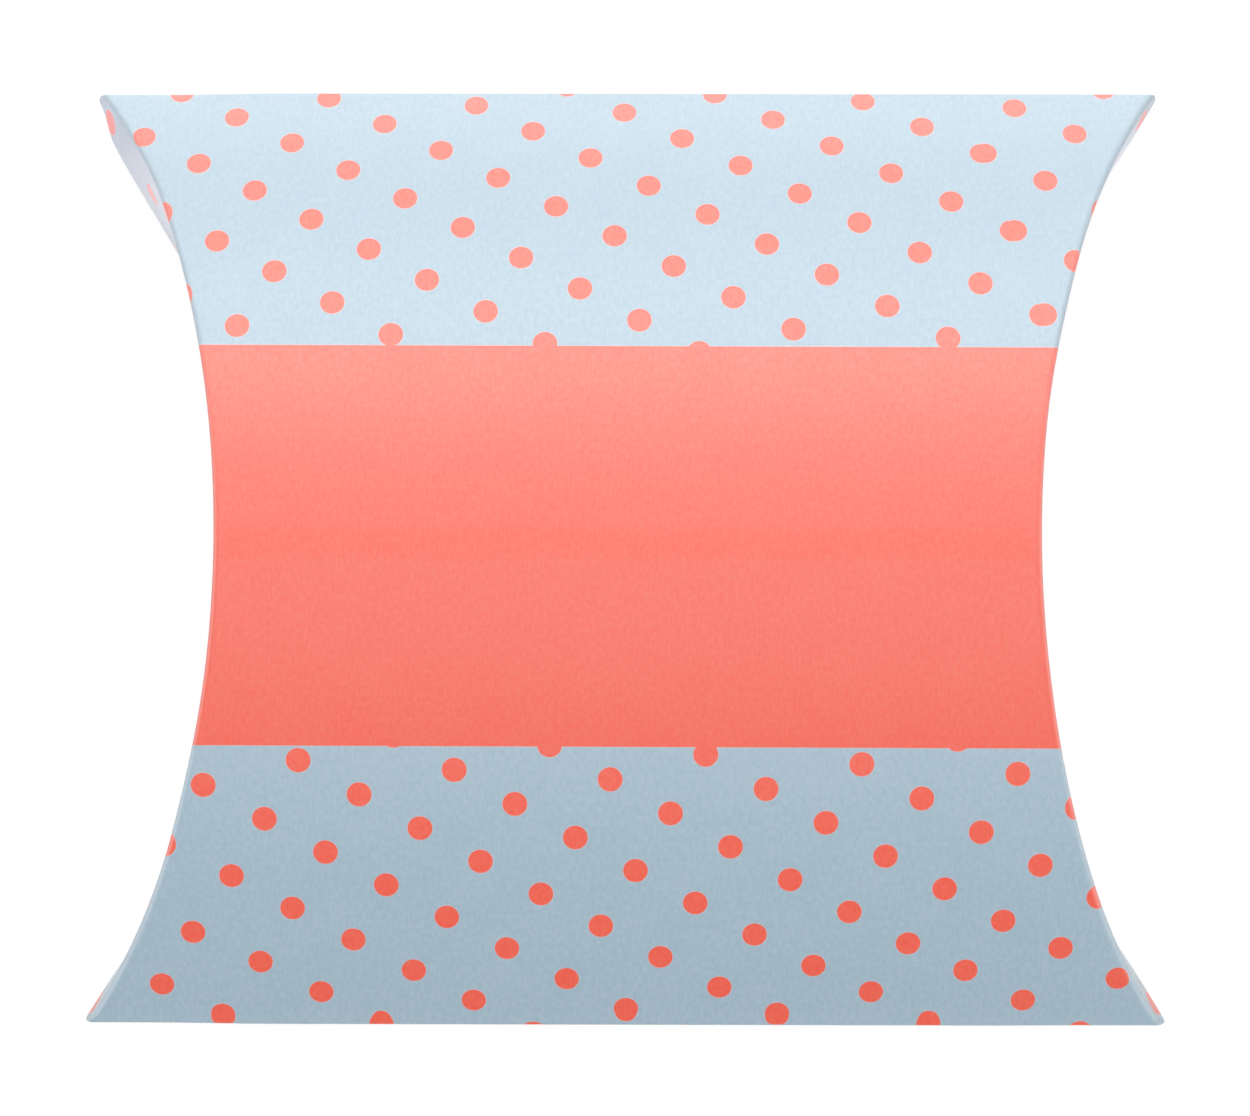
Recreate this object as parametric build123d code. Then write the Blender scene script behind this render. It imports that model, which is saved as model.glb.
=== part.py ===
"""Pillow box: one curved-crease carton that lies on its back panel.

Millimetres. +X runs from end to end, +Y across the panels, +Z up. The origin is
the middle of the back panel's crown, where the closed box touches the table.

The box is one die-cut card blank. Its two panels are bent to round cylinders
whose axes lie along X, and they meet in two straight side folds. At each end a
curved crease, which lies in a plane at 45 degrees, turns the card square across
the opening: the flap is the mirror image, in that plane, of the panel's own
cylinder, so its rulings stand upright. The front panel carries the outer flaps,
the back panel the shorter inner flaps, and a tab along the back panel's edge is
glued inside the front panel.
"""
from build123d import *
import math
import os

# Driving dimensions, measured on the outside of the closed box
BOX_WIDTH = 167.4        # between the two side folds
BOX_THICKNESS = 43.4     # crown to crown
WAIST_LENGTH = 142.2     # between the creases on the centre line
CARD = 0.45              # thickness of the board
NEST_GAP = 0.25          # air between the outer and the inner flap
HINGE_GAP = 0.3          # air between a crease and the edge of its flap

# Creases, folds and the glued seam
CREASE_WIDTH = 1.2       # width of the scored line
CREASE_BEAD = 0.25       # how far the score stands proud on the inside
FOLD_BAND = 2.4          # width of card that a side fold takes from each panel
GLUE_THICKNESS = 0.1
GLUE_WIDTH = 5.0
TAB_WIDTH = 14.0
TAB_HALF_LENGTH = 86.0   # at the fold
TAB_END_SLOPE = 0.75     # how much shorter the tab gets per millimetre inward

# Outer flaps: a full lens that springs out a little at its blunt corners
FLARE = 3.4              # how far the free edge stands out beyond the crease
TIP_FLARE = 2.4          # the same at the very corner
FLARE_START = 34.0       # distance from the centre line where the flare begins
FLARE_FULL = 66.0
TIP_TAPER = 12.0         # length over which the corner draws in and hangs down
TIP_HANG = 2.9           # how far the blunt corner hangs below the edge line
EDGE_LIFT = 0.3          # free edge above the back panel's crease
NOTCH_RADIUS = 9.0       # half-moon thumb notch in the free edge

# Inner flaps: about half as deep as the end is high
INNER_DEPTH_SHARE = 0.92
INNER_HALF_WIDTH = 76.0

# Worked out from the driving dimensions
HALF_WIDTH = BOX_WIDTH / 2
DOME = BOX_THICKNESS / 2
RADIUS = (HALF_WIDTH**2 + DOME**2) / (2 * DOME)
FRONT_REACH = WAIST_LENGTH / 2
BACK_REACH = FRONT_REACH - CARD - NEST_GAP
ROOM = 4 * RADIUS        # longer than anything that it cuts
FRONT, BACK = 1, -1
ENDS = {"left": -1, "right": 1}
STATIONS = 19            # cross-sections along a flap


def drop(y):
    """How far the panel's cylinder has fallen from its crown at y."""
    return RADIUS - math.sqrt(RADIUS**2 - y**2)


def stretch(y):
    """Thickness of a panel or flap, measured upright or along X, per unit of real thickness."""
    return RADIUS / math.sqrt(RADIUS**2 - y**2)


def ease(value, start, end):
    """0 before start, 1 after end, and a smooth rise between."""
    t = min(1, max(0, (value - start) / (end - start)))
    return t * t * (3 - 2 * t)


def dome(side, inset=0):
    """Solid cylinder that bounds the box on its front or back, inset from the outside."""
    centre = BOX_THICKNESS - RADIUS if side == FRONT else RADIUS
    return Pos(0, 0, centre) * Rot(0, 90, 0) * Cylinder(RADIUS - inset, ROOM)


def shell(side, thickness=CARD, inset=0):
    """Card of the given thickness under the outside of one panel's cylinder."""
    around_box = Pos(0, 0, DOME) * Box(ROOM, BOX_WIDTH + 2, BOX_THICKNESS + 2)
    return (dome(side, inset) - dome(side, inset + thickness)) & around_box


def beyond_crease(end, side, setback=0):
    """Everything past one curved crease, mitred half-way between the panel and its flap."""
    reach = (FRONT_REACH if side == FRONT else BACK_REACH) - setback
    crown = BOX_THICKNESS if side == FRONT else 0
    centre = (end * (reach + RADIUS), 0, crown - side * RADIUS)
    plane = Plane(origin=centre, x_dir=(0, 1, 0), z_dir=(end, 0, side))
    return extrude(plane * Ellipse(RADIUS, math.sqrt(2) * RADIUS), ROOM, both=True)


def slab(y_low, y_high):
    """Everything between two upright planes along X."""
    return Pos(0, (y_low + y_high) / 2, DOME) * Box(ROOM, y_high - y_low, ROOM)


def trimmed(solid, side, setback=0):
    """Cut off what reaches past both creases of one panel."""
    for end in ENDS.values():
        solid = solid - beyond_crease(end, side, setback)
    return solid


def tab_outline(margin=0):
    """Plan of the glue tab, with sloping ends, less a margin all round."""
    low = HALF_WIDTH - FOLD_BAND - TAB_WIDTH + margin
    high = HALF_WIDTH
    long_half = TAB_HALF_LENGTH - margin
    short_half = long_half - TAB_END_SLOPE * (high - low)
    corners = [(-long_half, high), (-short_half, low), (short_half, low), (long_half, high)]
    return extrude(make_face(Polyline(*corners, close=True)), ROOM, both=True)


def make_front_panel():
    """Front panel, from its side fold to its raw edge over the glued seam."""
    card = shell(FRONT) & dome(BACK) & slab(-HALF_WIDTH + FOLD_BAND, HALF_WIDTH)
    return trimmed(card, FRONT, CREASE_WIDTH)


def make_back_panel():
    """Back panel, from the side fold to the fold of its glue tab."""
    card = shell(BACK) & dome(FRONT, CARD + GLUE_THICKNESS)
    card = card & slab(-HALF_WIDTH + FOLD_BAND, HALF_WIDTH - FOLD_BAND)
    return trimmed(card, BACK, CREASE_WIDTH)


def make_side_fold():
    """Folded strip of card that joins the two panels along their unglued side."""
    strip = (dome(FRONT) & dome(BACK)) - (dome(FRONT, CARD) & dome(BACK, CARD))
    strip = strip & slab(-HALF_WIDTH - 1, -HALF_WIDTH + FOLD_BAND)
    return trimmed(trimmed(strip, FRONT), BACK)


def make_tab_fold():
    """Folded strip of card between the back panel and its glue tab."""
    under = CARD + GLUE_THICKNESS
    band = slab(HALF_WIDTH - FOLD_BAND, HALF_WIDTH)
    edge = trimmed(shell(BACK) & dome(FRONT, under) & band, BACK)
    turned = shell(FRONT, CARD, under) & dome(BACK) & band & tab_outline()
    return edge + turned


def make_glue_tab():
    """Bare card strip with sloping ends, folded in under the front panel."""
    card = shell(FRONT, CARD, CARD + GLUE_THICKNESS)
    card = card & slab(HALF_WIDTH - FOLD_BAND - TAB_WIDTH, HALF_WIDTH - FOLD_BAND)
    return card & tab_outline()


def make_seam_glue():
    """Dried line of adhesive between the tab and the front panel."""
    film = shell(FRONT, GLUE_THICKNESS, CARD)
    middle = HALF_WIDTH - FOLD_BAND - TAB_WIDTH / 2
    film = film & slab(middle - GLUE_WIDTH / 2, middle + GLUE_WIDTH / 2)
    return film & tab_outline(margin=4)


def make_crease(end, side):
    """Scored line between a panel and its flap, with its bead on the inside."""
    low = -HALF_WIDTH + FOLD_BAND
    high = HALF_WIDTH if side == FRONT else HALF_WIDTH - FOLD_BAND
    strip = shell(side, CARD + CREASE_BEAD) & slab(low, HALF_WIDTH - FOLD_BAND)
    if side == FRONT:
        strip = strip + (shell(FRONT) & dome(BACK) & slab(HALF_WIDTH - FOLD_BAND, high))
    strip = strip & beyond_crease(end, side, CREASE_WIDTH)
    return strip - beyond_crease(end, side)


def flap_section(end, y, top, bottom, flare):
    """Upright cross-section of a flap at y, from its crease to its free edge.

    top and bottom are (x, z) of the outside face, before the thickness is added.
    """
    thick = CARD * stretch(y)
    top_x, top_z = top
    low_x, low_z = bottom
    lean = 1 if top_z > low_z else -1
    points = [
        (end * top_x, y, top_z - lean * HINGE_GAP),
        (end * (top_x - thick), y, top_z - lean * (HINGE_GAP + thick)),
        (end * (low_x + flare - thick), y, low_z),
        (end * (low_x + flare), y, low_z),
    ]
    return make_face(Polyline(*points, close=True))


def make_outer_flap(end):
    """Full-depth flap of the front panel, with blunt sprung corners and a thumb notch."""
    sections = []
    widest = HALF_WIDTH - CARD / 2
    for i in range(STATIONS):
        y = widest * math.sin(math.pi * (i / (STATIONS - 1) - 0.5))
        away = abs(y)
        tip = ease(away, widest - TIP_TAPER, widest)
        flare = FLARE * ease(away, FLARE_START, FLARE_FULL) - (FLARE - TIP_FLARE) * tip
        x = FRONT_REACH + drop(y)
        low = drop(y) + EDGE_LIFT - TIP_HANG * tip
        sections.append(flap_section(end, y, (x, BOX_THICKNESS - drop(y)), (x, low), flare))
    flap = loft(sections)
    notch = Pos(end * FRONT_REACH, 0, 0) * Rot(0, 90, 0) * Cylinder(NOTCH_RADIUS, 20)
    return flap - notch


def make_inner_flap(end):
    """Half-depth flap of the back panel, which stands inside the outer flap."""
    sections = []
    for i in range(STATIONS):
        y = INNER_HALF_WIDTH * (2 * i / (STATIONS - 1) - 1)
        x = BACK_REACH + drop(y)
        high = drop(y) + INNER_DEPTH_SHARE * (DOME - drop(y))
        sections.append(flap_section(end, y, (x, drop(y)), (x, high), 0))
    return loft(sections)


def build_all():
    """Every node of the box by name."""
    nodes = {
        "front_panel": make_front_panel(),
        "back_panel": make_back_panel(),
        "side_fold": make_side_fold(),
        "tab_fold": make_tab_fold(),
        "glue_tab": make_glue_tab(),
        "seam_glue": make_seam_glue(),
    }
    for name, end in ENDS.items():
        nodes[name + "_front_crease"] = make_crease(end, FRONT)
        nodes[name + "_back_crease"] = make_crease(end, BACK)
        nodes[name + "_outer_flap"] = make_outer_flap(end)
        nodes[name + "_inner_flap"] = make_inner_flap(end)
    return nodes


os.makedirs("parts", exist_ok=True)
for node, solid in build_all().items():
    export_step(solid, os.path.join("parts", node + ".step"))
    box = solid.bounding_box()
    print(node, len(solid.solids()), "solid", round(solid.volume), "mm3", box.min, box.max)
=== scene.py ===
"""Pillow box of printed folding card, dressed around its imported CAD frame.

The box is one die-cut, printed and creased blank, so every piece here is a sheet: a
grid in the coordinates of the flat blank, bent to where the folded card stands, with
the thickness of the board put on its inside. The print is drawn on the flat blank too,
so that a row of spots runs over a crease and on down the flap as it does on real card.

Sizes in the classes are millimetres, as on a carton drawing, unless their notes say
metres. Meshes are made in metres.
"""
from __future__ import annotations

import logging
import math
from dataclasses import dataclass, field
from enum import Enum

import bmesh
import bpy
from mathutils import Matrix, Vector


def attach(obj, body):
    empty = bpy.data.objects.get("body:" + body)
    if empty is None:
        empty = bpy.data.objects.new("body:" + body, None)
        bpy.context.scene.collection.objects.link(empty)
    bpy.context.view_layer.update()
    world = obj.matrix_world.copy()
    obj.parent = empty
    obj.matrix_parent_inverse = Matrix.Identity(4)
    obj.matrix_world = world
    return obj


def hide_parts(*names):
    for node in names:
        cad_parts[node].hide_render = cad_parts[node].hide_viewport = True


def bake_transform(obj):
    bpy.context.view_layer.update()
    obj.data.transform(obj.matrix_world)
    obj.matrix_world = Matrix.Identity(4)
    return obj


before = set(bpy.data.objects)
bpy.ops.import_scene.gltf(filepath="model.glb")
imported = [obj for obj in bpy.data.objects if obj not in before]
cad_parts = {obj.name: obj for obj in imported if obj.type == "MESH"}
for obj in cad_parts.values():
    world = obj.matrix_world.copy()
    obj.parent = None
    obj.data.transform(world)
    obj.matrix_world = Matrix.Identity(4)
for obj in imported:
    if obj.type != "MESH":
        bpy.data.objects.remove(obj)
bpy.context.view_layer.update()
MM = 0.001
LOG = logging.getLogger("pillow_box")
Finishes = tuple[bpy.types.Material, bpy.types.Material, bpy.types.Material]


class Face(Enum):
    """One of the two domed sides of the box."""

    FRONT = 1
    BACK = -1


class End(Enum):
    """One of the two open ends, by its place along X."""

    LEFT = -1
    RIGHT = 1


class Slot(Enum):
    """Material slots of a card sheet, in the order in which they are assigned."""

    OUTSIDE = 0
    INSIDE = 1
    CUT_EDGE = 2


def ease(value: float, start: float, end: float) -> float:
    """Rise smoothly from 0 at start to 1 at end.

    Args:
        value: Where to read the curve.
        start: Value up to which it is 0.
        end: Value from which it is 1.

    Returns:
        The eased share.
    """
    share = min(1.0, max(0.0, (value - start) / (end - start)))
    return share * share * (3.0 - 2.0 * share)


def linear_colour(red: int, green: int, blue: int) -> tuple[float, float, float, float]:
    """Turn a screen colour into Blender's linear colour with full alpha.

    Args:
        red: Level of red, 0 to 255.
        green: Level of green.
        blue: Level of blue.

    Returns:
        The linear colour.
    """
    parts = []
    for level in (red, green, blue):
        share = level / 255.0
        parts.append(share / 12.92 if share <= 0.04045 else ((share + 0.055) / 1.055) ** 2.4)
    return (parts[0], parts[1], parts[2], 1.0)


@dataclass(frozen=True)
class Corner:
    """How one corner of the closed box has sprung out of its plain folded form.

    Attributes:
        shoulder: How far the creases run out past their plain curve on the way there.
        swell: How much further they run out at the very corner.
        swell_from: Distance across at which they begin to.
        stand: How far the outer flap's free edge stands out past the plain curve.
        stand_from: Distance across at which it begins to stand out.
        stand_full: Distance across at which it stands out fully.
        tuck: How much less it stands out at the very corner.
        drift: Shift of the flap's print towards the corner, per length down the flap.
        pinch: How far the corner is drawn towards the centre line.
        shoulder_zone: Distances across between which the shoulder grows.
        tuck_zone: Distances from the side of the box between which the tuck grows.
    """

    shoulder: float
    swell: float
    swell_from: float
    stand: float
    stand_from: float
    stand_full: float
    tuck: float = 0.0
    drift: float = 0.0
    pinch: float = 0.0
    shoulder_zone: tuple[float, float] = (20.0, 48.0)
    tuck_zone: tuple[float, float] = (8.4, 0.4)

    def swelled(self, away: float, half_width: float) -> float:
        """Find how far the creases run out past the plain curve.

        Args:
            away: Distance from the centre line.
            half_width: Distance from the centre line to a side fold.

        Returns:
            The distance along the box.
        """
        share = max(0.0, (away - self.swell_from) / (half_width - self.swell_from))
        return self.shoulder * ease(away, *self.shoulder_zone) + self.swell * share**2

    def stands(self, away: float, half_width: float) -> float:
        """Find how far the free edge stands out past the plain curve.

        Args:
            away: Distance from the centre line.
            half_width: Distance from the centre line to a side fold.

        Returns:
            The distance along the box.
        """
        start, full = (half_width - inwards for inwards in self.tuck_zone)
        tuck = self.tuck * ease(away, start, full)
        return self.stand * ease(away, self.stand_from, self.stand_full) - tuck


@dataclass(frozen=True)
class Corners:
    """The four corners, each sprung by its own amount.

    Attributes:
        left_far: The left one on the far side, towards +Y.
        right_far: The right one on the far side.
        left_near: The left one on the near side.
        right_near: The right one on the near side.
    """

    left_far: Corner = Corner(0.1, 2.5, 63.0, 5.75, 36.0, 77.0, 1.45, 0.2, 0.3)
    right_far: Corner = Corner(0.45, 2.0, 50.0, 3.65, 55.0, 83.0)
    left_near: Corner = Corner(0.3, 1.85, 50.0, 3.8, 54.0, 83.0, 0.0, 0.0, 0.2)
    right_near: Corner = Corner(-0.15, 1.2, 60.0, 3.2, 53.0, 82.0, 0.0, 0.1, 0.1)

    def at(self, end: End, across: float) -> Corner:
        """Find the corner on the side of an end at which a distance across lies.

        Args:
            end: End of the box.
            across: Distance across, above 0 on the far side.

        Returns:
            The corner.
        """
        if end is End.LEFT:
            return self.left_far if across > 0.0 else self.left_near
        return self.right_far if across > 0.0 else self.right_near


@dataclass(frozen=True)
class TabForm:
    """Sizes of the glue tab.

    Attributes:
        width: Width from its fold to its free edge.
        half_length: Half its length at the side of the box.
        end_slope: How much shorter it gets per millimetre inwards.
        glue: Thickness of the dried adhesive.
    """

    width: float = 14.0
    half_length: float = 86.0
    end_slope: float = 0.75
    glue: float = 0.1


@dataclass(frozen=True)
class BoxForm:
    """Outside form of the closed box, the same numbers as in its CAD source.

    Attributes:
        half_width: Distance from the centre line to a side fold.
        thickness: Height from crown to crown.
        waist: Length between the front creases on the centre line.
        card: Thickness of the board.
        nest_gap: Air between the outer and the inner flap.
        crease_radius: Outside radius of a crease on the centre line.
        corner_radius: The same near the corners.
        crease_strip: Width of card that a crease takes from its panel.
        fold_band: Width of card that a side fold takes from each panel.
        raw_edge: How far the front panel's raw edge stays back from the side.
        corner_along: Distances along the box between which a corner's own shape grows.
        corner_across: The same for distances across.
        tab: Sizes of the glue tab.
        corners: The four corners.
    """

    half_width: float = 83.7
    thickness: float = 43.4
    waist: float = 142.2
    card: float = 0.45
    nest_gap: float = 0.25
    crease_radius: float = 1.25
    corner_radius: float = 1.8
    crease_strip: float = 2.2
    fold_band: float = 2.4
    raw_edge: float = 0.15
    corner_along: tuple[float, float] = (62.0, 84.0)
    corner_across: tuple[float, float] = (40.0, 78.0)
    tab: TabForm = field(default_factory=TabForm)
    corners: Corners = field(default_factory=Corners)

    @property
    def dome(self) -> float:
        """Height of one panel's crown above the plane of the side folds."""
        return self.thickness / 2.0

    @property
    def radius(self) -> float:
        """Radius of the cylinder that each panel is bent to."""
        return (self.half_width**2 + self.dome**2) / (2.0 * self.dome)

    @property
    def border(self) -> float:
        """Distance across at which a panel goes over into its side fold."""
        return self.half_width - self.fold_band

    @property
    def half_girth(self) -> float:
        """Width of card from a panel's centre line to its side fold."""
        return self.arc(self.half_width)

    def drop(self, across: float) -> float:
        """How far the panel has fallen from its crown at a distance across."""
        return self.radius - math.sqrt(self.radius**2 - across**2)

    def arc(self, across: float) -> float:
        """Length of card from the centre line to a point at that distance across."""
        return self.radius * math.asin(across / self.radius)

    def tab_end(self, across: float) -> float:
        """Distance from the middle of the box to the glue tab's sloping end."""
        return self.tab.half_length - self.tab.end_slope * (self.half_width - across)

    def card_span(self, face: Face) -> tuple[float, float]:
        """Find where a panel and its creases begin and end across the box.

        Args:
            face: Face of the box.

        Returns:
            The two distances across.
        """
        if face is Face.FRONT:
            return -self.border, self.half_width - self.raw_edge
        return -self.border, self.border

    def reach(self, face: Face) -> float:
        """Find how far out a face's crease lies on the centre line.

        Args:
            face: Face of the box.

        Returns:
            Distance from the middle of the box.
        """
        if face is Face.FRONT:
            return self.waist / 2.0
        return self.waist / 2.0 - self.card - self.nest_gap

    def crease(self, face: Face, end: End, across: float) -> float:
        """Distance from the middle of the box to a crease at a distance across."""
        swell = self.corners.at(end, across).swelled(abs(across), self.half_width)
        return self.reach(face) + self.drop(across) + swell

    def sprung(self, place: Vector) -> Vector:
        """Draw a place near a corner towards the centre line, as the card there is.

        Args:
            place: Place on the plain box.

        Returns:
            The place on the box with its sprung corners.
        """
        corner = self.corners.at(End.RIGHT if place.x > 0.0 else End.LEFT, place.y)
        share = ease(abs(place.x), *self.corner_along) * ease(abs(place.y), *self.corner_across)
        return place - Vector((0.0, math.copysign(corner.pinch * share, place.y), 0.0))

    def bend_radius(self, across: float) -> float:
        """Outside radius of a crease, which is softer towards the corners."""
        softer = self.corner_radius - self.crease_radius
        return self.crease_radius + softer * ease(abs(across), *self.corner_across)

    def height(self, face: Face, across: float) -> float:
        """Find how high a face's outside lies above the table.

        Args:
            face: Face of the box.
            across: Distance across.

        Returns:
            The height.
        """
        if face is Face.FRONT:
            return self.thickness - self.drop(across)
        return self.drop(across)

    def blank_across(self, face: Face, across: float) -> float:
        """Find the place on the flat blank, across the panels, of a point of a face.

        Args:
            face: Face of the box.
            across: Distance across on the folded box.

        Returns:
            The place on the blank.
        """
        if face is Face.FRONT:
            return self.arc(across)
        return -2.0 * self.half_girth - self.arc(across)


@dataclass(frozen=True)
class Bend:
    """Section through a soft crease, between a panel's ruling and its flap's ruling.

    Attributes:
        radius: Outside radius of the bent card.
        lean: Angle by which the flap leans out from square, in radians.
    """

    radius: float
    lean: float

    @property
    def turn(self) -> float:
        """Angle through which the card turns."""
        return math.pi / 2.0 - self.lean

    @property
    def tangent(self) -> float:
        """Distance from the sharp corner to where the card is straight again."""
        return self.radius * math.tan(self.turn / 2.0)

    def point(self, share: float) -> tuple[float, float]:
        """Place on the arc, as distances out and down from the sharp corner.

        Args:
            share: 0 at the panel's end of the arc, 1 at the flap's end.

        Returns:
            Distance outwards and distance downwards.
        """
        angle = self.turn * share
        out = -self.tangent + self.radius * math.sin(angle)
        return out, self.radius * (1.0 - math.cos(angle))

    def card_run(self, share: float) -> float:
        """Length of card past the crease line at that share of the arc."""
        return self.tangent * (2.0 * share - 1.0)


@dataclass(frozen=True)
class FlapForm:
    """Sizes of the end flaps.

    Attributes:
        taper: Length over which the tip of an outer flap comes to hang down.
        tip_hang: How far the blunt tip hangs below the line of the free edge.
        tip_round: Radius of the tip's rounded corner.
        tip_left: Share of the depth that is left at the very tip.
        least_depth: Least depth of an outer flap.
        edge_lift: Height of the free edge above the back panel's crease.
        notch_radius: Radius of the thumb notch.
        tip_across: Distance across at which an outer flap ends.
        inner_share: Depth of an inner flap, as a share of the room up to the middle.
        inner_half: Distance across at which an inner flap ends.
    """

    taper: float = 12.0
    tip_hang: float = 2.9
    tip_round: float = 0.8
    tip_left: float = 0.35
    least_depth: float = 0.1
    edge_lift: float = 0.3
    notch_radius: float = 9.0
    tip_across: float = 83.6
    inner_share: float = 0.92
    inner_half: float = 76.0

    def rounding(self, across: float) -> float:
        """Find what the rounded corner of the flap's tip leaves of its depth.

        Args:
            across: Distance across.

        Returns:
            Share of the depth.
        """
        past = (abs(across) - self.tip_across + self.tip_round) / self.tip_round
        rounded = math.sqrt(1.0 - min(1.0, max(0.0, past)) ** 2)
        return self.tip_left + (1.0 - self.tip_left) * rounded

    def hang(self, across: float) -> float:
        """How far the blunt tip hangs below the line of the free edge."""
        return self.tip_hang * ease(abs(across), self.tip_across - self.taper, self.tip_across)


class Strip(Enum):
    """One of the strips that a flap is made in, from its crease to its free edge."""

    ROOT = 0
    SHOULDER = 1
    CARD = 2


@dataclass(frozen=True)
class Opening:
    """How the card of a flap shares in the flap's turn when it is opened.

    The card stays with the curved crease and turns fully only at the middle of its free edge,
    so that an open flap carries on the panel's dome, as real card does once its curve has popped.
    The share that a place takes follows a measure, which rises down the flap, fast in the root
    strip and slowly at the free edge, and falls towards the corners.

    Attributes:
        base: Measure at the middle of the crease. 0 stays, 1 turns fully.
        knots: Distances down, less the distance out, at which one strip ends and the next begins.
        rises: Rise of the measure per millimetre down each strip.
        fall: Loss per millimetre that the crease has fallen from its crown.
    """

    base: float = 0.0489
    knots: tuple[float, float] = (2.5, 12.0)
    rises: tuple[float, float, float] = (0.203, 0.0238, 0.0055)
    fall: float = 0.0278

    def span(self, hinge: Vector, face: Face, end: End, strip: Strip) -> tuple[Vector, Vector]:
        """Points between which a strip goes over from the box to the flap's own turn.

        Args:
            hinge: Middle of the crease, in millimetres.
            face: Face of the box that the flap belongs to.
            end: End of the box.
            strip: Strip of the flap.

        Returns:
            The two points, in metres.
        """
        rise = self.rises[strip.value]
        base = self.base
        for above in range(strip.value):
            base += (self.rises[above] - self.rises[above + 1]) * self.knots[above]
        slope = Vector((-end.value * (rise + self.fall), 0.0, -face.value * rise))
        step = slope / slope.length_squared
        start = hinge - base * step
        return start * MM, (start + step) * MM


def spread(start: float, end: float, count: int) -> list[float]:
    """Evenly spaced stations from start to end, both included."""
    return [start + (end - start) * i / count for i in range(count + 1)]


def cubic(points: tuple[tuple[float, float], ...], share: float) -> tuple[float, float]:
    """Find a place on the curve that four control points draw.

    Args:
        points: The four control points.
        share: Share of the way from the first to the last.

    Returns:
        The place.
    """
    rest = 1.0 - share
    weights = (rest**3, 3.0 * rest**2 * share, 3.0 * rest * share**2, share**3)
    first = sum(weight * point[0] for weight, point in zip(weights, points))
    second = sum(weight * point[1] for weight, point in zip(weights, points))
    return first, second


@dataclass
class Sheet:
    """A sheet of card: a grid on the flat blank, bent to its folded place.

    Attributes:
        form: Outside form of the box.
        name: Name of the piece.
        nodes: CAD nodes that the piece stands for.
        slot: Slot of the record that its finish comes from. It is not used.
        finishes: Materials for the outside, the inside and the cut edge.
        rim: Which of them the rim of the sheet has.
    """

    form: BoxForm
    name: str
    nodes: tuple[str, ...]
    slot: str
    finishes: Finishes
    rim: Slot = field(default=Slot.CUT_EDGE, init=False)

    def columns(self) -> list[float]:
        """Stations along the first direction of the grid."""
        raise NotImplementedError

    def rows(self) -> list[float]:
        """Stations along the second direction of the grid."""
        raise NotImplementedError

    def folded(self, column: float, row: float) -> Vector:
        """Place of a station on the outside of the folded box."""
        raise NotImplementedError

    def blank(self, column: float, row: float) -> tuple[float, float]:
        """Place of a station on the flat blank."""
        raise NotImplementedError

    def rub(self, column: float, row: float) -> float:
        """How much the print is rubbed at a station, from 0 to 1."""
        return 0.0

    def faces_inwards(self, sheet: bmesh.types.BMesh) -> bool:
        """Find whether the grid's faces point to the middle of the box.

        Args:
            sheet: Mesh of the sheet, bent to its place.

        Returns:
            True where they point inwards and have to be turned.
        """
        middle = Vector((0.0, 0.0, self.form.dome)) * MM
        sheet.normal_update()
        outward = 0.0
        for face in sheet.faces:
            outward += face.normal.dot(face.calc_center_median() - middle) * face.calc_area()
        return outward < 0.0

    def build(self) -> bpy.types.Object:
        """Make the sheet as a mesh object with its thickness and finishes.

        Returns:
            The finished object, not yet riding on a body.
        """
        columns = self.columns()
        rows = self.rows()
        sheet = bmesh.new()
        bmesh.ops.create_grid(
            sheet, x_segments=len(columns) - 1, y_segments=len(rows) - 1, size=1.0
        )
        print_map = sheet.loops.layers.uv.new("blank")
        rubbed = sheet.verts.layers.float.new("rub")
        flat: dict[bmesh.types.BMVert, tuple[float, float]] = {}
        for vert in sheet.verts:
            column = columns[round((vert.co.x + 1.0) / 2.0 * (len(columns) - 1))]
            row = rows[round((vert.co.y + 1.0) / 2.0 * (len(rows) - 1))]
            flat[vert] = self.blank(column, row)
            vert[rubbed] = self.rub(column, row)
            vert.co = self.form.sprung(self.folded(column, row)) * MM
        for face in sheet.faces:
            face.smooth = True
            for loop in face.loops:
                loop[print_map].uv = (flat[loop.vert][0] * MM, flat[loop.vert][1] * MM)
        if self.faces_inwards(sheet):
            bmesh.ops.reverse_faces(sheet, faces=sheet.faces[:])
        for edge in sheet.edges:
            if edge.is_boundary:
                edge.smooth = False
        mesh = bpy.data.meshes.new(self.name)
        sheet.to_mesh(mesh)
        sheet.free()
        piece = bpy.data.objects.new(self.name, mesh)
        bpy.context.scene.collection.objects.link(piece)
        for finish in self.finishes:
            mesh.materials.append(finish)
        board = piece.modifiers.new("board", "SOLIDIFY")
        board.thickness = self.form.card * MM
        board.offset = -1.0
        board.material_offset = Slot.INSIDE.value
        board.material_offset_rim = self.rim.value
        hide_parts(*self.nodes)
        LOG.info("%s: %d faces", self.name, len(mesh.polygons))
        return piece


@dataclass
class Panel(Sheet):
    """One domed panel, from its side fold to its other long edge, between the creases.

    Attributes:
        face: Face of the box that it is.
        steps_along: Stations along the panel.
        steps_across: Stations across it.
    """

    face: Face = Face.FRONT
    steps_along: int = 48
    steps_across: int = 110

    def columns(self) -> list[float]:
        """Shares of the panel's length, from the left crease to the right one."""
        return spread(-1.0, 1.0, self.steps_along)

    def rows(self) -> list[float]:
        """Distances across the panel."""
        return spread(*self.form.card_span(self.face), self.steps_across)

    def along(self, column: float, across: float) -> float:
        """Find the place along the box, where the panel ends at its two crease strips.

        Args:
            column: Share of the panel's length.
            across: Distance across.

        Returns:
            The place along the box.
        """
        end = End.RIGHT if column > 0.0 else End.LEFT
        half = self.form.crease(self.face, end, across) - self.form.crease_strip
        return column * half

    def folded(self, column: float, row: float) -> Vector:
        """Place of a station on the outside of the folded box."""
        return Vector((self.along(column, row), row, self.form.height(self.face, row)))

    def blank(self, column: float, row: float) -> tuple[float, float]:
        """Place of a station on the flat blank."""
        return self.along(column, row), self.form.blank_across(self.face, row)


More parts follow.
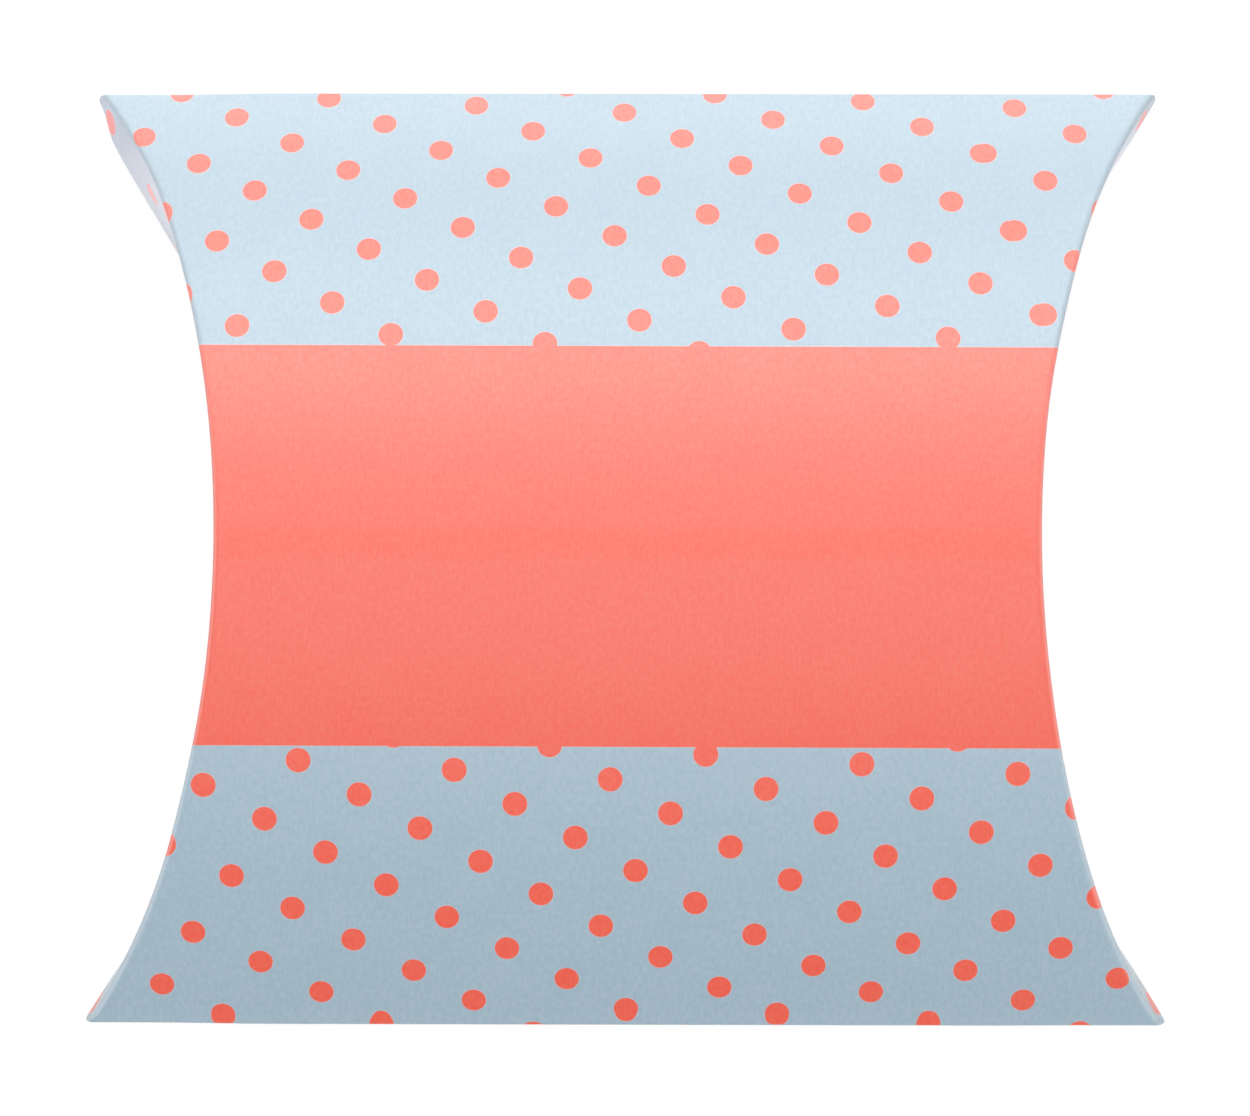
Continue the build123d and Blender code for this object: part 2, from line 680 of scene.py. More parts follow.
@dataclass
class EndSheet(Sheet):
    """A sheet at one end of the box, on or past the curved crease of one face.

    Attributes:
        face: Face of the box that the sheet belongs to.
        end: End of the box.
        flaps: Sizes of the end flaps.
        steps_arc: Stations round half the bend.
        crowding: Power by which they crowd together where the bend begins and ends.
    """

    face: Face = Face.FRONT
    end: End = End.LEFT
    flaps: FlapForm = field(default_factory=FlapForm)
    steps_arc: int = 6
    crowding: float = 1.6

    def free_edge(self, across: float) -> float:
        """Find how high the flap's free edge lies, with its notch and its rounded tips.

        Args:
            across: Distance across.

        Returns:
            Height above the table.
        """
        if self.face is Face.BACK:
            return self.form.drop(across) + self.depth(across)
        depth = self.depth(across) * self.flaps.rounding(across)
        edge = self.form.height(self.face, across) - depth
        if abs(across) < self.flaps.notch_radius:
            edge = max(edge, math.sqrt(self.flaps.notch_radius**2 - across**2))
        return edge

    def stand_off(self, across: float) -> float:
        """Find how far the free edge stands out beyond the crease.

        Args:
            across: Distance across.

        Returns:
            The distance along the box.
        """
        if self.face is Face.BACK:
            return 0.0
        corner = self.form.corners.at(self.end, across)
        away = abs(across)
        half_width = self.form.half_width
        return corner.stands(away, half_width) - corner.swelled(away, half_width)

    def depth(self, across: float) -> float:
        """Find the flap's depth from the sharp crease line, as if its edge had no cuts.

        Args:
            across: Distance across.

        Returns:
            The depth.
        """
        drop = self.form.drop(across)
        if self.face is Face.BACK:
            return self.flaps.inner_share * (self.form.dome - drop)
        full_edge = drop + self.flaps.edge_lift - self.flaps.hang(across)
        return max(self.flaps.least_depth, self.form.height(self.face, across) - full_edge)

    def bend(self, across: float) -> Bend:
        """Find the section through the crease.

        Args:
            across: Distance across.

        Returns:
            The bend there.
        """
        depth = self.depth(across)
        lean = math.atan2(self.stand_off(across), depth)
        return Bend(min(self.form.bend_radius(across), 0.5 * depth), lean)

    def placed(self, out: float, down: float, across: float) -> Vector:
        """Turn distances from the sharp crease line into a place in the frame.

        Args:
            out: Distance outwards along X.
            down: Distance from the crown's side towards the middle of the box.
            across: Distance across.

        Returns:
            The place, in millimetres.
        """
        crease = self.form.crease(self.face, self.end, across)
        height = self.form.height(self.face, across) - self.face.value * down
        return Vector((self.end.value * (crease + out), across, height))


@dataclass
class Crease(EndSheet):
    """Scored strip between a panel and its flap, up to the crease line itself.

    Attributes:
        steps_across: Stations across the strip.
    """

    rim: Slot = field(default=Slot.OUTSIDE, init=False)
    steps_across: int = 120

    def columns(self) -> list[float]:
        """Shares of the bend, from below 0 on the straight card to a half at the crease."""
        left = [1.0 - i / self.steps_arc for i in range(self.steps_arc + 1)]
        return [-1.0, -0.5] + [0.5 * (1.0 - share**self.crowding) for share in left]

    def rows(self) -> list[float]:
        """Distances across the strip."""
        return spread(*self.form.card_span(self.face), self.steps_across)

    def folded(self, column: float, row: float) -> Vector:
        """Bend a station to its place on the outside of the folded box.

        Args:
            column: Share of the bend, below 0 on the straight card.
            row: Distance across.

        Returns:
            The place.
        """
        bend = self.bend(row)
        if column < 0.0:
            straight = self.form.crease_strip - bend.tangent
            return self.placed(-bend.tangent + column * straight, 0.0, row)
        out, down = bend.point(column)
        return self.placed(out, down, row)

    def blank(self, column: float, row: float) -> tuple[float, float]:
        """Find the place of a station on the flat blank.

        Args:
            column: Share of the bend, below 0 on the straight card.
            row: Distance across.

        Returns:
            The place along and across the blank.
        """
        bend = self.bend(row)
        if column < 0.0:
            run = -bend.tangent + column * (self.form.crease_strip - bend.tangent)
        else:
            run = bend.card_run(column)
        along = self.form.crease(self.face, self.end, row) + run
        return self.end.value * along, self.form.blank_across(self.face, row)

    def rub(self, column: float, row: float) -> float:
        """The print is rubbed most on the crease line."""
        return max(0.0, column * 2.0)


@dataclass
class Flap(EndSheet):
    """One strip of an end flap: its root at the crease, its shoulder or the rest of its card.

    Attributes:
        half: Distance across at which the flap ends.
        strip: Which of the flap's strips it is.
        opening: How the card takes its share of the flap's turn.
        least_straight: Least depth of straight card in the root.
        least_strip: Depth at which a lower strip runs out.
        sure_across: Distance across at which every strip is still there.
        halvings: Steps in which the place where it runs out is found.
        drift_zone: Distances across between which the print drifts.
        edge_rub: How much the print is rubbed at the free edge.
        edge_zone: Stations down the strip between which that rub grows.
        steps_across: Stations across the flap.
        steps_notch: Those of them round the thumb notch.
        steps_down: Stations down the straight card of each strip.
    """

    half: float = 83.6
    strip: Strip = Strip.CARD
    opening: Opening = field(default_factory=Opening)
    least_straight: float = 0.02
    least_strip: float = 0.03
    sure_across: float = 20.0
    halvings: int = 24
    drift_zone: tuple[float, float] = (66.0, 78.0)
    edge_rub: float = 0.4
    edge_zone: tuple[float, float] = (1.9, 2.0)
    steps_across: int = 96
    steps_notch: int = 24
    steps_down: tuple[int, int, int] = (5, 9, 22)

    def columns(self) -> list[float]:
        """Space the stations down the strip.

        Returns:
            Those past 1 run down the straight card. The root also has those from a half to 1,
            which are shares of the bend from the crease line on.
        """
        straight = spread(1.0, 2.0, self.steps_down[self.strip.value])
        if self.strip is not Strip.ROOT:
            return straight
        past = [i / self.steps_arc for i in range(self.steps_arc)]
        return [0.5 + 0.5 * share**self.crowding for share in past] + straight

    def rows(self) -> list[float]:
        """Space the stations across the strip.

        Returns:
            Distances across, closer together at the tips and round the notch.
        """
        quarter = math.pi / 2.0
        if self.face is Face.BACK:
            angles = spread(-quarter, quarter, self.steps_across)
            stations = [self.half * math.sin(x) for x in angles]
        else:
            notch = self.flaps.notch_radius
            lower = math.asin(notch / self.half)
            inner = spread(-quarter, quarter, self.steps_notch)[1:-1]
            middle = [notch * math.sin(x) for x in inner]
            side = [self.half * math.sin(x) for x in spread(lower, quarter, self.steps_across // 2)]
            stations = [-y for y in reversed(side)] + middle + side
        low, high = -self.extent(-1.0), self.extent(1.0)
        return [low] + [y for y in stations if low < y < high] + [high]

    def extent(self, side: float) -> float:
        """Find where the strip runs out at the free edge.

        Args:
            side: -1 or 1, for the side of the centre line.

        Returns:
            Distance from the centre line.
        """
        near, far = self.sure_across, self.half
        if self.strip is Strip.ROOT:
            return far
        for _ in range(self.halvings):
            middle = (near + far) / 2.0
            top, bottom = self.straight(side * middle)
            if bottom - top > self.least_strip:
                near = middle
            else:
                far = middle
        return near

    def edge(self, across: float) -> float:
        """Distance from the crease line down to the free edge."""
        return abs(self.form.height(self.face, across) - self.free_edge(across))

    def knot_depth(self, knot: float, across: float) -> float:
        """Find how far down a knot of the opening lies, or the free edge above it.

        Args:
            knot: Distance down less the distance out, as the opening measures it.
            across: Distance across.

        Returns:
            Distance from the crease line down.
        """
        bend = self.bend(across)
        out, down = bend.point(1.0)
        lean = math.tan(bend.lean)
        crease = self.form.crease(self.face, self.end, across)
        run_out = crease - self.form.reach(self.face) - self.form.drop(across)
        depth = (knot + run_out + out - lean * down) / (1.0 - lean)
        return min(depth, self.edge(across))

    def straight(self, across: float) -> tuple[float, float]:
        """Find between which depths this strip is straight.

        Args:
            across: Distance across.

        Returns:
            The upper and the lower distance from the crease line.
        """
        knots = self.opening.knots
        if self.strip is Strip.CARD:
            return self.knot_depth(knots[-1], across), self.edge(across)
        bottom = self.knot_depth(knots[self.strip.value], across)
        if self.strip is Strip.SHOULDER:
            return self.knot_depth(knots[0], across), bottom
        turned = self.bend(across).point(1.0)[1]
        return min(turned, bottom - self.least_straight), bottom

    def folded(self, column: float, row: float) -> Vector:
        """Bend a station to its place on the outside of the folded box.

        Args:
            column: Share of the bend, or past 1 that of the straight card.
            row: Distance across.

        Returns:
            The place.
        """
        bend = self.bend(row)
        if column < 1.0:
            out, down = bend.point(column)
            return self.placed(out, down, row)
        turned_out, turned_down = bend.point(1.0)
        top, bottom = self.straight(row)
        down = top + (bottom - top) * (column - 1.0)
        out = turned_out + math.tan(bend.lean) * (down - turned_down)
        return self.placed(out, down, row)

    def blank(self, column: float, row: float) -> tuple[float, float]:
        """Find the place of a station on the flat blank.

        Args:
            column: Share of the bend, or past 1 that of the straight card.
            row: Distance across.

        Returns:
            The place along and across the blank.
        """
        bend = self.bend(row)
        if column < 1.0:
            run = bend.card_run(column)
        else:
            top, bottom = self.straight(row)
            down = top + (bottom - top) * (column - 1.0)
            run = bend.tangent + (down - bend.point(1.0)[1]) / math.cos(bend.lean)
        along = self.form.crease(self.face, self.end, row) + run
        drift = self.drifted(row, max(0.0, run))
        return self.end.value * along, self.form.blank_across(self.face, row) + drift

    def drifted(self, across: float, down: float) -> float:
        """Find how far the print has shifted across the blank.

        Args:
            across: Distance across.
            down: Length of card down the flap.

        Returns:
            The shift.
        """
        drift = self.form.corners.at(self.end, across).drift * down
        drift *= ease(abs(across), *self.drift_zone)
        return self.face.value * math.copysign(drift, across)

    def rub(self, column: float, row: float) -> float:
        """Rub the print on the crease line and a little along the free edge.

        Args:
            column: Share of the bend, or past 1 that of the straight card.
            row: Distance across. It is not used.

        Returns:
            How much it is rubbed, from 0 to 1.
        """
        if self.strip is Strip.CARD:
            return self.edge_rub * ease(column, *self.edge_zone)
        return max(0.0, 2.0 - 2.0 * column)

    def hinged(self) -> bpy.types.Object:
        """Build the strip and bake its place into its mesh. The span over which it would turn is
        found but not used.

        Returns:
            The finished object.
        """
        along = self.end.value * self.form.reach(self.face)
        hinge = Vector((along, 0.0, self.form.height(self.face, 0.0)))
        start, end = self.opening.span(hinge, self.face, self.end, self.strip)
        piece = self.build()
        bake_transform(piece)
        return piece


@dataclass
class SideFold(Sheet):
    """Rounded fold that joins the two panels along their unglued side.

    Attributes:
        creases: Front creases at whose bends the fold ends.
        hold: Length over which the card leaves its panel nearly straight.
        blunt: How blunt the nose is, as a height above the middle plane.
        shift: Shares of the way round between which the end goes over to the back crease.
        rub_fall: How fast the rub falls from the nose, per share of the way round.
        steps_along: Stations along the fold.
        steps_round: Stations round it.
        steps_arc: Stations round the bend at each end.
    """

    rim: Slot = field(default=Slot.OUTSIDE, init=False)
    creases: dict[End, Crease] = field(default_factory=dict)
    hold: float = 1.5
    blunt: float = 0.3
    shift: tuple[float, float] = (0.5, 0.8)
    rub_fall: float = 5.0
    steps_along: int = 60
    steps_round: int = 18
    steps_arc: int = 5

    def columns(self) -> list[float]:
        """Shares of the fold's length, and past 1 those of the bend at its end."""
        arc = [1.0 + 0.5 * i / self.steps_arc for i in range(1, self.steps_arc + 1)]
        return [-x for x in reversed(arc)] + spread(-1.0, 1.0, self.steps_along) + arc

    def rows(self) -> list[float]:
        """Shares of the way round, from the front panel to the back panel."""
        return spread(0.0, 1.0, self.steps_round)

    def section(self, row: float) -> tuple[float, float]:
        """Find a place on the fold's section.

        Args:
            row: Share of the way round.

        Returns:
            Distance across and height above the middle plane.
        """
        border = self.form.border
        rise = self.form.dome - self.form.drop(border)
        slope = math.asin(border / self.form.radius)
        share = 2.0 * row if row <= 0.5 else 2.0 * (1.0 - row)
        sign = 1.0 if row <= 0.5 else -1.0
        points = (
            (border, rise),
            (border + self.hold * math.cos(slope), rise - self.hold * math.sin(slope)),
            (self.form.half_width, self.blunt),
            (self.form.half_width, 0.0),
        )
        across, above = cubic(points, share)
        return -across, sign * above

    def ending(self, column: float, row: float) -> tuple[float, float]:
        """Find where the fold ends.

        Args:
            column: Share of the length, past 1 on the bend at the end.
            row: Share of the way round.

        Returns:
            Distance along the box and distance that the card has turned inwards.
        """
        across, _ = self.section(row)
        end = End.RIGHT if column > 0.0 else End.LEFT
        behind = self.form.reach(Face.FRONT) - self.form.reach(Face.BACK)
        crease = self.form.crease(Face.FRONT, end, across) - behind * ease(row, *self.shift)
        bend = self.creases[end].bend(across)
        out, down = bend.point(max(0.0, abs(column) - 1.0))
        return crease + out, down

    def folded(self, column: float, row: float) -> Vector:
        """Bend a station to its place on the outside of the folded box.

        At the ends both halves turn in with the creases, but keep room for the card's thickness.

        Args:
            column: Share of the length, past 1 on the bend at the end.
            row: Share of the way round.

        Returns:
            The place.
        """
        across, above = self.section(row)
        along, down = self.ending(column, row)
        if abs(column) < 1.0:
            along *= abs(column)
        room = max(0.0, abs(above) - self.form.card)
        above -= math.copysign(min(down, room), above)
        return Vector((math.copysign(along, column), across, self.form.dome + above))

    def blank(self, column: float, row: float) -> tuple[float, float]:
        """Find the place of a station on the flat blank.

        Args:
            column: Share of the length, past 1 on the bend at the end.
            row: Share of the way round.

        Returns:
            The place along and across the blank.
        """
        start = -self.form.arc(self.form.border)
        end = -2.0 * self.form.half_girth - start
        return self.folded(column, row).x, start + (end - start) * row

    def rub(self, column: float, row: float) -> float:
        """The print is rubbed most at the nose of the fold."""
        return max(0.0, 1.0 - abs(row - 0.5) * self.rub_fall)


@dataclass
class TabFold(Sheet):
    """Fold between the back panel and the glue tab, under the front panel's raw edge.

    Attributes:
        nose: Distance across of its outermost line.
        hold: Length over which the card leaves its panel nearly straight.
        blunt: How blunt the nose is, as a height to either side of its middle.
        run: Length of card round the fold.
        setback: How far its back part ends before the crease.
        shift: Shares of the way round between which its end goes over to the tab's end.
        steps_along: Stations along the fold.
        steps_round: Stations round it.
    """

    nose: float = 82.95
    hold: float = 0.9
    blunt: float = 0.25
    run: float = 5.0
    setback: float = 0.35
    shift: tuple[float, float] = (0.35, 0.65)
    steps_along: int = 60
    steps_round: int = 18

    def columns(self) -> list[float]:
        """Shares of the fold's length."""
        return spread(-1.0, 1.0, self.steps_along)

    def rows(self) -> list[float]:
        """Shares of the way round, from the back panel to the glue tab."""
        return spread(0.0, 1.0, self.steps_round)

    def section(self, row: float) -> tuple[float, float]:
        """Find a place on the outside of the fold's section.

        Args:
            row: Share of the way round.

        Returns:
            Distance across and height.
        """
        form = self.form
        slope = math.asin(form.border / form.radius)
        low = form.height(Face.BACK, form.border)
        high = form.height(Face.FRONT, form.border) - (form.card + form.tab.glue) / math.cos(slope)
        middle = (low + high) / 2.0
        share = 2.0 * row if row <= 0.5 else 2.0 * (1.0 - row)
        start, sign = (low, 1.0) if row <= 0.5 else (high, -1.0)
        held = start + sign * self.hold * math.sin(slope)
        points = (
            (form.border, start),
            (form.border + self.hold * math.cos(slope), held),
            (self.nose, middle - sign * self.blunt),
            (self.nose, middle),
        )
        return cubic(points, share)

    def along(self, column: float, row: float) -> float:
        """Find the place along the box of a station.

        Args:
            column: Share of the fold's length.
            row: Share of the way round. The back part ends at the crease, the rest as the tab.

        Returns:
            The place along the box.
        """
        across, height = self.section(row)
        corner = self.form.corners.at(End.RIGHT if column > 0.0 else End.LEFT, across)
        swell = corner.swelled(across, self.form.half_width)
        crease = self.form.reach(Face.BACK) + height + swell - self.setback
        tab = self.form.tab_end(across)
        return column * (crease + (tab - crease) * ease(row, *self.shift))

    def folded(self, column: float, row: float) -> Vector:
        """Place of a station on the outside of the folded box."""
        across, height = self.section(row)
        return Vector((self.along(column, row), across, height))

    def blank(self, column: float, row: float) -> tuple[float, float]:
        """Place of a station on the flat blank."""
        start = -2.0 * self.form.half_girth - self.form.arc(self.form.border)
        return self.along(column, row), start - self.run * row


@dataclass
class GlueTab(Sheet):
    """Bare strip with sloping ends, turned in and glued under the front panel.

    Attributes:
        steps_along: Stations along the tab.
        steps_across: Stations across it.
    """

    steps_along: int = 40
    steps_across: int = 12

    def columns(self) -> list[float]:
        """Shares of the tab's length."""
        return spread(-1.0, 1.0, self.steps_along)

    def rows(self) -> list[float]:
        """Distances across, from the tab's free edge to its fold."""
        fold = self.form.border
        return spread(fold - self.form.tab.width, fold, self.steps_across)

    def inset(self) -> float:
        """Depth of the outer face under the outside of the front panel."""
        return self.form.card + self.form.tab.glue

    def half_length(self, across: float) -> float:
        """Distance from the middle to the sloping end."""
        return self.form.tab_end(across)

    def folded(self, column: float, row: float) -> Vector:
        """Bend a station to its place on the face that is glued to the front panel.

        Args:
            column: Share of the length.
            row: Distance across.

        Returns:
            The place.
        """
        slope = math.asin(row / self.form.radius)
        height = self.form.height(Face.FRONT, row) - self.inset() / math.cos(slope)
        return Vector((column * self.half_length(row), row, height))

    def blank(self, column: float, row: float) -> tuple[float, float]:
        """Place of a station on the flat blank."""
        return column * self.half_length(row), -4.0 * self.form.half_girth + self.form.arc(row)


@dataclass
class GlueLine(GlueTab):
    """Dried line of adhesive between the tab and the front panel.

    Attributes:
        bead: Width of the line.
        margin: How far it stops short of the tab's ends.
        wander: How uneven its ends are.
        waves: Radians of that unevenness per millimetre across.
    """

    bead: float = 5.0
    margin: float = 4.0
    wander: float = 0.5
    waves: float = 2.1

    def rows(self) -> list[float]:
        """Distances across the line of glue."""
        middle = self.form.border - self.form.tab.width / 2.0
        return spread(middle - self.bead / 2.0, middle + self.bead / 2.0, self.steps_across)

    def inset(self) -> float:
        """The glue starts right under the front panel's card."""
        return self.form.card

    def half_length(self, across: float) -> float:
        """The line stops short of the tab's ends, with a slightly uneven end."""
        uneven = self.wander * math.sin(across * self.waves)
        return super().half_length(across) - self.margin - uneven

    def build(self) -> bpy.types.Object:
        """Make the film as thin as glue is, not as thick as card.

        Returns:
            The finished object, not yet riding on a body.
        """
        piece = super().build()
        piece.modifiers["board"].thickness = self.form.tab.glue * MM
        return piece


class Wiring:
    """Adds nodes to a node tree and links them, so that a recipe reads in order."""

    def __init__(self, tree: bpy.types.NodeTree) -> None:
        """Start wiring in a tree.

        Args:
            tree: Node tree of a material, the world or a group.
        """
        self.tree = tree

    def add(self, kind: str, **settings: object) -> bpy.types.Node:
        """Add a node and set its properties.

        Args:
            kind: Type name of the node.
            settings: Properties of the node by name.

        Returns:
            The new node.
        """
        node = self.tree.nodes.new(kind)
        for name, value in settings.items():
            setattr(node, name, value)
        return node

    def feed(self, target: bpy.types.NodeSocket, source: object) -> None:
        """Give a socket a plain value or a link.

        Args:
            target: Input to feed.
            source: Output to link it to, or the value to set.
        """
        if isinstance(source, bpy.types.NodeSocket):
            self.tree.links.new(source, target)
        else:
            target.default_value = source

    def math(self, operation: str, *values: object) -> bpy.types.NodeSocket:
        """Add a Math node.

        Args:
            operation: What it reckons.
            values: Sockets or numbers that it takes.

        Returns:
            Its result.
        """
        node = self.add("ShaderNodeMath", operation=operation)
        for target, value in zip(node.inputs, values):
            self.feed(target, value)
        return node.outputs[0]

    def vector(self, operation: str, *values: object) -> bpy.types.NodeSocket:
        """Add a Vector Math node.

        Args:
            operation: What it reckons.
            values: Sockets or vectors that it takes.

        Returns:
            Its result, which is a plain value for a length or a dot product.
        """
        node = self.add("ShaderNodeVectorMath", operation=operation)
        for target, value in zip(node.inputs, values):
            self.feed(target, value)
        plain = operation in ("LENGTH", "DOT_PRODUCT")
        return node.outputs["Value" if plain else "Vector"]

    def scaled(self, vector: object, factor: object) -> bpy.types.NodeSocket:
        """Scale a vector.

        Args:
            vector: Socket or vector.
            factor: Socket or number.

        Returns:
            The scaled vector.
        """
        node = self.add("ShaderNodeVectorMath", operation="SCALE")
        self.feed(node.inputs[0], vector)
        self.feed(node.inputs["Scale"], factor)
        return node.outputs["Vector"]

    def turned(self, vector: object, degrees: float) -> bpy.types.NodeSocket:
        """Turn a vector in the plane of the blank.

        Args:
            vector: Socket or vector.
            degrees: Angle of the turn.

        Returns:
            The turned vector.
        """
        node = self.add("ShaderNodeVectorRotate", rotation_type="Z_AXIS")
        self.feed(node.inputs["Vector"], vector)
        node.inputs["Angle"].default_value = math.radians(degrees)
        return node.outputs[0]

    def ramp(
        self, value: object, start: float, end: float, low: float, high: float
    ) -> bpy.types.NodeSocket:
        """Map a value smoothly from one range to another.

        Args:
            value: Socket or number to map.
            start: Value at which the result is low.
            end: Value at which the result is high.
            low: Result at start.
            high: Result at end.

        Returns:
            The mapped value.
        """
        node = self.add("ShaderNodeMapRange", interpolation_type="SMOOTHSTEP")
        for target, given in zip(node.inputs, (value, start, end, low, high)):
            self.feed(target, given)
        return node.outputs[0]

    def noise(self, place: object, scale: float, detail: float) -> bpy.types.NodeSocket:
        """Add a Noise Texture.

        Args:
            place: Socket with the place.
            scale: How fine it is, per metre.
            detail: How many finer layers it has.

        Returns:
            Its value.
        """
        node = self.add("ShaderNodeTexNoise")
        self.feed(node.inputs["Vector"], place)
        node.inputs["Scale"].default_value = scale
        node.inputs["Detail"].default_value = detail
        return node.outputs[0]

    def blend(self, share: object, first: object, second: object) -> bpy.types.NodeSocket:
        """Mix two colours.

        Args:
            share: Share of the second.
            first: Socket or colour.
            second: Socket or colour.

        Returns:
            The mixed colour.
        """
        node = self.add("ShaderNodeMix", data_type="RGBA", blend_type="MIX")
        self.feed(node.inputs[0], share)
        self.feed(node.inputs[6], first)
        self.feed(node.inputs[7], second)
        return node.outputs[2]

    def on_blank(self, group: bpy.types.NodeTree) -> bpy.types.Node:
        """Add a node group that reads the place on the flat blank.

        Args:
            group: The group, with the place as its first input.

        Returns:
            The new node.
        """
        node = self.add("ShaderNodeGroup", node_tree=group)
        self.feed(node.inputs[0], self.add("ShaderNodeUVMap", uv_map="blank").outputs[0])
        return node


def new_material(name: str) -> tuple[bpy.types.Material, Wiring, bpy.types.Node]:
    """Make a material to be wired.

    Args:
        name: Name of the material.

    Returns:
        The material, its wiring and its Principled shader.
    """
    made = bpy.data.materials.new(name)
    made.use_nodes = True
    return made, Wiring(made.node_tree), made.node_tree.nodes["Principled BSDF"]


def new_group(
    name: str, inputs: tuple[tuple[str, str], ...], outputs: tuple[str, ...]
) -> tuple[bpy.types.NodeTree, Wiring, bpy.types.Node, bpy.types.Node]:
    """Make an empty shader node group with its sockets.

    Args:
        name: Name of the group.
        inputs: Name and socket type of each input.
        outputs: Name of each output, all of them values.

    Returns:
        The group, its wiring, its input node and its output node.
    """
    group = bpy.data.node_groups.new(name, "ShaderNodeTree")
    for label, kind in inputs:
        group.interface.new_socket(label, in_out="INPUT", socket_type=kind)
    for label in outputs:
        group.interface.new_socket(label, in_out="OUTPUT", socket_type="NodeSocketFloat")
    wiring = Wiring(group)
    return group, wiring, wiring.add("NodeGroupInput"), wiring.add("NodeGroupOutput")


@dataclass(frozen=True)
class Seam:
    """Seam between two repeats of the artwork, past which its spots sit off the rows.

    Attributes:
        across: Direction square to the seam, in cells of the rows.
        limit: Place of the seam in that direction.
        shift: How far the spots past it sit off, in millimetres on the blank.
    """

    across: tuple[float, float]
    limit: float
    shift: tuple[float, float]


@dataclass(frozen=True)
class SpotPrint:
    """Artwork on the flat blank: slanting rows of spots and one plain band.

    Attributes:
        pitch: Distance between neighbouring spots.
        spot: Diameter of a spot.
        slant: Angle of the rows, in degrees.
        first: Place of one spot on the blank.
        band_middle: Place of the band's centre line across the blank.
        band_half: Half the band's width.
        askew: Angle by which the whole print is turned on the blank, in degrees.
        seams: Seams between the repeats of the spots.
        knock_out: Width of the pale line where the ground stops short of the spot ink.
        edge: Softness of the printed edges.
    """

    pitch: float = 12.0
    spot: float = 4.3
    slant: float = 29.937
    first: tuple[float, float] = (-2.50, 55.96)
    band_middle: float = -0.165
    band_half: float = 34.925
    askew: float = 0.11
    seams: tuple[Seam, ...] = (
        Seam((1.0, 1.0), 8.0, (0.55, 0.05)),
        Seam((-1.0, -1.0), 11.5, (-1.15, -0.35)),
        Seam((1.0, -1.0), 16.5, (-0.15, 0.75)),
    )
    knock_out: float = 0.015
    edge: float = 0.06

    def cells(self, wire: Wiring, place: object) -> bpy.types.NodeSocket:
        """Count the cells of the slanting rows, with the seams between their repeats.

        Args:
            wire: Wiring of the group.
            place: Socket with the place on the blank, in millimetres.

        Returns:
            The place in cells. A spot stands where both numbers are whole.
        """
        moved = wire.vector("SUBTRACT", place, (*self.first, 0.0))
        whole = wire.scaled(wire.turned(moved, self.slant), 1.0 / self.pitch)
        shifted = whole
        for seam in self.seams:
            beyond = wire.vector("DOT_PRODUCT", whole, (*seam.across, 0.0))
            past = wire.math("GREATER_THAN", beyond, seam.limit)
            turn = Matrix.Rotation(math.radians(self.slant), 2)
            step = turn @ Vector(seam.shift) / self.pitch
            shifted = wire.vector("SUBTRACT", shifted, wire.scaled((*step, 0.0), past))
        return shifted

    def group(self) -> bpy.types.NodeTree:
        """Make the node group that says where each ink lies.

        Returns:
            Group with the input Blank and the outputs Spot Ink and Ground Ink.
        """
        group, wire, given, result = new_group(
            "spot and band print", (("Blank", "NodeSocketVector"),), ("Spot Ink", "Ground Ink")
        )
        place = wire.scaled(wire.turned(given.outputs[0], self.askew), 1.0 / MM)
        half = (0.5, 0.5, 0.0)
        inside = wire.vector("FRACTION", wire.vector("ADD", self.cells(wire, place), half))
        away = wire.vector("LENGTH", wire.vector("SUBTRACT", inside, half))
        spot_gap = wire.math("SUBTRACT", wire.math("MULTIPLY", away, self.pitch), self.spot / 2.0)
        parts = wire.add("ShaderNodeSeparateXYZ")
        wire.feed(parts.inputs[0], place)
        off_middle = wire.math("SUBTRACT", parts.outputs["Y"], self.band_middle)
        band_gap = wire.math("SUBTRACT", wire.math("ABSOLUTE", off_middle), self.band_half)
        gap = wire.math("MINIMUM", spot_gap, band_gap)
        wire.feed(result.inputs["Spot Ink"], wire.ramp(gap, -self.edge, self.edge, 1.0, 0.0))
        start, end = self.knock_out - self.edge, self.knock_out + self.edge
        wire.feed(result.inputs["Ground Ink"], wire.ramp(gap, start, end, 0.0, 1.0))
        return group


